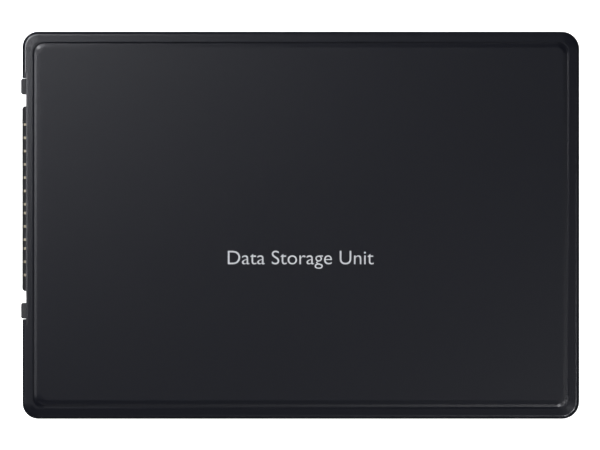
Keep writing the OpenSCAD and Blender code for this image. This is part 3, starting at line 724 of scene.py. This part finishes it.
def tail_solder():
    """Solder over the contact tails where they lie on the board."""
    half_width, rise = 0.3 * MM, 0.2 * MM
    start = plug_high.x + 0.4 * MM
    shape = Shape()
    for name in ("ground_contacts", "lane_contacts"):
        for low, high in solids_of(name):
            middle = ((start + high.x) / 2 + 0.15 * MM, (low.y + high.y) / 2, board_high.z)
            half_length = (high.x - start) / 2 + 0.1 * MM
            shape.dome(middle, (half_length, half_width, rise), sides=12, levels=4)
    shape.piece("tail_solder", SOLDER, "drive", "tinned_metal", smooth=60)


def board_keepouts():
    """Areas of the board's upper side covered by parts."""
    areas = []
    for name in BOARD_PARTS:
        for low, high in solids_of(name):
            if low.z > board_low.z:
                areas.append((low.x, low.y, high.x, high.y))
    return areas


def is_free(point, areas, margin):
    """Whether a point keeps a margin from every area."""
    x, y = point
    return all(not (x0 - margin < x < x1 + margin and y0 - margin < y < y1 + margin)
               for x0, y0, x1, y1 in areas)


def on_board(point):
    """Whether a point keeps clear of the board's edges and screws."""
    x, y = point
    edge, plug_room, screw_room = 1.2 * MM, 5 * MM, 2.6 * MM
    if not board_low.x + plug_room < x < board_high.x - edge:
        return False
    wide = WAIST[0] + edge < x < WAIST[1] - edge
    if abs(y) > (board_high.y if wide else WAIST_HALF) - edge:
        return False
    return all(math.hypot(x - sx, y - sy) > screw_room for sx, sy in BOARD_SCREWS)


def vias(areas, count=340):
    """Plated holes through the board, in loose clusters: each a gold ring round a dark disc of painted
    shade for the hole.
    """
    grid, part_room, via_room, stride = 0.5 * MM, 0.55 * MM, 0.75 * MM, 1.0 * MM
    hole_r, ring_r = 0.12 * MM, 0.24 * MM
    ring_top, hole_top = board_high.z + 0.012 * MM, board_high.z + 0.004 * MM
    rng = random.Random(7)
    rings, holes = Shape(), Shape()
    placed = []
    while len(placed) < count:
        x = rng.uniform(board_low.x, board_high.x)
        y = rng.uniform(board_low.y, board_high.y)
        for _ in range(rng.randint(1, 5)):
            spot = (round(x / grid) * grid, round(y / grid) * grid)
            if on_board(spot) and is_free(spot, areas, part_room) and \
                    all(math.hypot(spot[0] - q[0], spot[1] - q[1]) > via_room for q in placed):
                placed.append(spot)
                rings.ring(spot, hole_r, ring_r, board_high.z, ring_top, 12)
                # A dark disc of painted shade stands in for the inside of the hole.
                holes.disc(spot, hole_r + 0.005 * MM, board_high.z, hole_top, 10)
            x += rng.choice((-1, 0, 1)) * stride
            y += rng.choice((-1, 0, 1)) * stride
    rings.piece("via_rings", GOLD, "drive", "gilt_contact")
    holes.piece("via_holes", HOLE_PAINTED_SHADE, "drive", "board_laminate")


def lane_tracks(shape, top):
    """Pairs from the connector's row of small capacitors to the controller."""
    low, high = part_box("controller_substrate")
    last = len(LANE_Y) - 1
    for i, y in enumerate(LANE_Y):
        target = low.y + (high.y - low.y) * (0.08 + 0.84 * i / last)
        for side in (-1, 1):
            start = (LANE_X + 1.1 * MM, y + side * 0.17 * MM)
            end = (low.x - 0.1 * MM, target + side * 0.17 * MM)
            drop = abs(end[1] - start[1])
            # the outer pairs bend first, so that no two pairs cross
            bend = start[0] + 1.2 * MM + 0.11 * MM * (last + 1 - abs(2 * i - last - 1))
            shape.track([start, (bend, start[1]), (bend + drop, end[1]), end], TRACK, board_high.z, top)


def memory_tracks(shape, top, count=16):
    """Straight runs between the controller and both working-memory chips."""
    low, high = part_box("controller_substrate")
    for name in ("memory_chip_1", "memory_chip_2"):
        chip_low, chip_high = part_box(name)
        first, last = (high.y, chip_low.y) if chip_low.y > 0 else (low.y, chip_high.y)
        middle = (first + last) / 2
        for i in range(count):
            x = chip_low.x + (chip_high.x - chip_low.x) * (i + 0.5) / count
            step = 0.25 * MM if i % 3 == 0 else 0
            path = [(x, first), (x, middle - step), (x + step, middle), (x + step, last)]
            shape.track(path, TRACK, board_high.z, top)


def flash_tracks(shape, top, count=9):
    """Bundles from the controller out to the near pair of flash packages, and on to the far pair."""
    controller_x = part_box("controller_substrate")[1].x
    for near, far in zip(FLASH_NEAR, FLASH_FAR):
        near_low, near_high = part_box(near)
        far_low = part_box(far)[0]
        side = 1 if near_low.y > 0 else -1
        for i in range(count):
            y_from = side * (1.2 + 0.42 * i) * MM
            y_to = side * (3.4 + 0.42 * i) * MM
            bend = controller_x + (0.25 + 0.02 * i) * MM
            path = [(controller_x, y_from), (bend, y_from), (bend + abs(y_to - y_from), y_to),
                    (near_low.x, y_to)]
            shape.track(path, TRACK, board_high.z, top)
            shape.track([(near_high.x, y_to), (far_low.x, y_to)], TRACK, board_high.z, top)


def backup_tracks(shape, top, count=5):
    """Wide runs from the far flash packages to the backup capacitors."""
    end_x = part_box("backup_capacitor_ends")[0].x - 0.3 * MM
    for far in FLASH_FAR:
        low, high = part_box(far)
        for i in range(count):
            y = low.y + (high.y - low.y) * (i + 0.5) / count
            shape.track([(high.x, y), (end_x, y)], WIDE_TRACK, board_high.z, top)


def traces():
    """Copper tracks under the board's green coating."""
    shape = Shape()
    top = board_high.z + 0.009 * MM
    for tracks in (lane_tracks, memory_tracks, flash_tracks, backup_tracks):
        tracks(shape, top)
    shape.piece("traces", TRACE, "drive", "board_laminate")


def copper_areas():
    """Broad copper under the coating round the power parts, with cut corners."""
    reach, corner, edge = 0.9 * MM, 0.5 * MM, 0.5 * MM
    top = board_high.z + 0.007 * MM
    shape = Shape()
    for low, high in solids_of("power_inductors"):
        x0, x1 = low.x - reach, high.x + reach
        y0, y1 = max(low.y - reach, board_low.y + edge), min(high.y + reach, board_high.y - edge)
        shape.prism([(x0 + corner, y0), (x1 - corner, y0), (x1, y0 + corner), (x1, y1 - corner),
                     (x1 - corner, y1), (x0 + corner, y1), (x0, y1 - corner), (x0, y0 + corner)],
                    board_high.z, top)
    shape.piece("copper_areas", TRACE, "drive", "board_laminate")


def screw_pads():
    """Bare plated rings round the board screws."""
    rings = Shape()
    low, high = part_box("board_screws")
    head_r = (high.x - low.x - (BOARD_SCREWS[-1][0] - BOARD_SCREWS[0][0])) / 2
    for spot in BOARD_SCREWS:
        rings.ring(spot, head_r * 0.6, head_r + 0.35 * MM, board_high.z, board_high.z + 0.015 * MM, 40)
    rings.piece("screw_pads", GOLD, "drive", "gilt_contact")


def board_print():
    """White outlines round the packages and polarity bars, without any wording."""
    line, gap, side_gap = 0.14 * MM, 0.4 * MM, 0.2 * MM
    bar_far, bar_near, bar_in = 0.95 * MM, 0.8 * MM, 0.5 * MM
    base, top = board_high.z, board_high.z + 0.014 * MM
    shape = Shape()
    for name in OUTLINED:
        for low, high in solids_of(name):
            if low.z > board_low.z:
                shape.border((low.x - gap, low.y - gap), (high.x + gap, high.y + gap), line, base, top)
    for low, high in solids_of("backup_capacitors"):
        for y in (low.y - side_gap, high.y + side_gap - line):
            shape.slab((low.x, y, base), (high.x, y + line, top))
        shape.slab((low.x - bar_far, low.y + bar_in, base), (low.x - bar_near, high.y - bar_in, top))
    shape.piece("board_print", PRINT_WHITE, "drive", "label_film")


def capacitor_bands():
    """The stripe that marks the plus end of each backup capacitor."""
    near, far, inset, ink = 0.35 * MM, 1.1 * MM, 0.1 * MM, 0.008 * MM
    shape = Shape()
    for low, high in solids_of("backup_capacitors"):
        shape.slab((low.x + near, low.y + inset, high.z), (low.x + far, high.y - inset, high.z + ink))
    shape.piece("capacitor_bands", BAND_BROWN, "drive", "capacitor_resin")


def fiducials():
    """Round alignment targets near three corners of the board."""
    copper, clear = Shape(), Shape()
    far_x, far_y = board_high.x - 2.2 * MM, WAIST_HALF - 2.2 * MM
    near_spot = (board_low.x + 5.2 * MM, -WAIST_HALF + 4 * MM)
    for spot in (near_spot, (far_x, -far_y), (far_x, far_y)):
        clear.disc(spot, 1.0 * MM, board_high.z, board_high.z + 0.004 * MM, 32)
        copper.disc(spot, 0.5 * MM, board_high.z, board_high.z + 0.012 * MM, 24)
    clear.piece("fiducial_clearings", BARE_LAMINATE, "drive", "board_laminate")
    copper.piece("fiducials", SOLDER, "drive", "tinned_metal")


# ---------------------------------------------------------------- studio

# Place in metres, side in metres and watts of each square softbox, all aimed at the drive
SOFTBOXES = {
    "far_key": ((-1.2, 1.2, 1.7), 0.4, 30),
    "high_left": ((-0.15, 0.15, 0.8), 0.15, 0.46),
    "high_right": ((0.15, -0.15, 0.8), 0.15, 0.16),
    "left_back_corner": ((-0.1, 0.2, 0.22), 0.1, 0.28),
    "left_corner": ((-0.2, 0.1, 0.22), 0.04, 0.18),
    "left_side": ((-0.2, 0.05, 0.21), 0.04, 0.15),
    "right_corner": ((0.32, -0.24, 0.4), 0.08, 0.75),
    "right_side": ((0.4, -0.08, 0.4), 0.08, 0.25),
    "front_side": ((0.3, -0.9, 0.84), 0.15, 3),
    "far_left": ((-0.9, 0.08, 0.7), 0.15, 0.5),
    "underneath": ((-0.3, -0.2, -0.7), 0.5, 1.2),
}
COOL_WHITE = (0.985, 0.99, 1.03)


def softbox(name, place, side, watts):
    """A square lamp that faces the drive and isn't seen itself."""
    lamp = bpy.data.lights.new(name, "AREA")
    lamp.shape = "SQUARE"
    lamp.size = side
    lamp.energy = watts
    lamp.color = COOL_WHITE
    box = into_scene(name, lamp)
    box.location = place
    box.rotation_mode = "QUATERNION"
    box.rotation_quaternion = Vector(place).to_track_quat("Z", "Y")
    box.visible_camera = False


def studio_floor():
    """A broad white floor, a hair below the case so that the two don't share a plane."""
    reach = 3.0
    level = case_low.z - 0.3 * MM
    corners = [(x * reach, y * reach, level) for x, y in ((-1, -1), (1, -1), (1, 1), (-1, 1))]
    mesh = bpy.data.meshes.new("studio_floor")
    mesh.from_pydata(corners, [], [(0, 1, 2, 3)])
    mesh.materials.append(white_plaster())
    ground = into_scene("studio_floor", mesh)
    ground.visible_glossy = False
    ground.visible_shadow = False


def backdrop():
    """White where it is seen, and dim as a light."""
    world = bpy.data.worlds.new("studio")
    bpy.context.scene.world = world
    world.use_nodes = True
    tree = world.node_tree
    white = tree.nodes["Background"]
    seen = tree.nodes.new("ShaderNodeLightPath")
    strength = tree.nodes.new("ShaderNodeMapRange")
    strength.inputs["To Min"].default_value = 0.022
    strength.inputs["To Max"].default_value = 1.0
    tree.links.new(seen.outputs["Is Camera Ray"], strength.inputs["Value"])
    tree.links.new(strength.outputs["Result"], white.inputs["Strength"])
    white.inputs["Color"].default_value = (1, 1, 1, 1)


def studio():
    studio_floor()
    for name, (place, side, watts) in SOFTBOXES.items():
        softbox(name, place, side, watts)
    backdrop()


def camera():
    """A long lens straight above the drive."""
    view_width, view_y = 108.17 * MM, 0.04 * MM
    lens = bpy.data.cameras.new("camera")
    lens.type = "PERSP"
    lens.lens = 400
    lens.sensor_width = 36
    lens.clip_start = 0.1
    lens.clip_end = 20
    view = into_scene("camera", lens)
    view.location = (0, view_y, cover_top + lens.lens / lens.sensor_width * view_width)
    bpy.context.scene.camera = view


camera()
studio()
dress_cad_nodes()
for package in (*TOP_PACKAGES, "controller_lid", "crystal_lid"):
    soften(package, 0.05 * MM)
for block in ("power_inductors", "backup_capacitors", "ceramic_capacitors", "chip_resistors"):
    soften(block, 0.04 * MM, 1)
cover_lettering()
label_print()
hole_threads()
traces()
copper_areas()
screw_pads()
vias(board_keepouts())
board_print()
fiducials()
chip_marks()
lid_step()
capacitor_bands()
solder_fillets()
tail_solder()
bpy.context.scene.view_settings.view_transform = "Standard"
